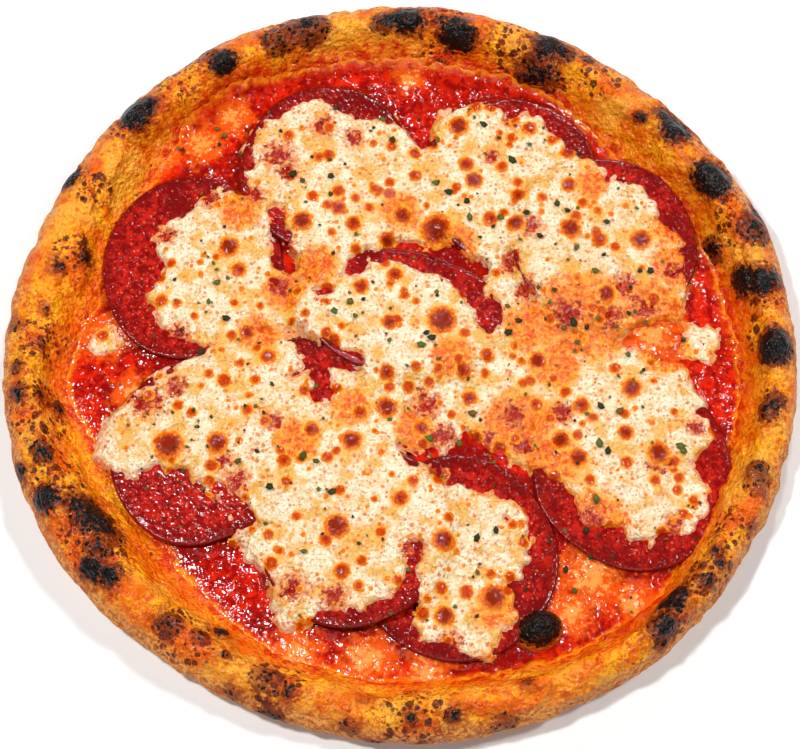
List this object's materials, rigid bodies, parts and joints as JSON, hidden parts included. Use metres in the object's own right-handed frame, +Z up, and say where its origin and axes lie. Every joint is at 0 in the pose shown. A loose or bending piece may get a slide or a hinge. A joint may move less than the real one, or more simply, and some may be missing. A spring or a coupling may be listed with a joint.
{
  "type": "diavola pizza",
  "caption": "Whole round pizza with a puffed, charred rim, tomato sauce, spicy salami slices and melted cheese with browned spots and herbs.",
  "frame": {"origin": "centre of the underside, on the table", "axes": "+Z up; the picture is taken from the -Y side, with +X to its right"},
  "size_m": [0.3004, 0.3016, 0.0247],
  "materials": {
    "crust": "baked, matte, charred in spots",
    "sauce": "wet and oily",
    "salami": "oily, fine-grained",
    "cheese": "melted, soft gloss, browned blisters"
  },
  "bodies": {
    "root": {"crust": "crust", "sauce": "sauce", "salami_left": "salami", "salami_top_right": "salami", "salami_under_centre": "salami", "salami_right": "salami", "salami_bottom": "salami", "salami_top_left": "salami", "salami_right_upper": "salami", "salami_centre": "salami", "salami_left_lower": "salami", "salami_bottom_left": "salami", "cheese": "cheese", "cheese_scrap_left": "cheese", "cheese_scrap_right": "cheese"}
  },
  "joints": []
}
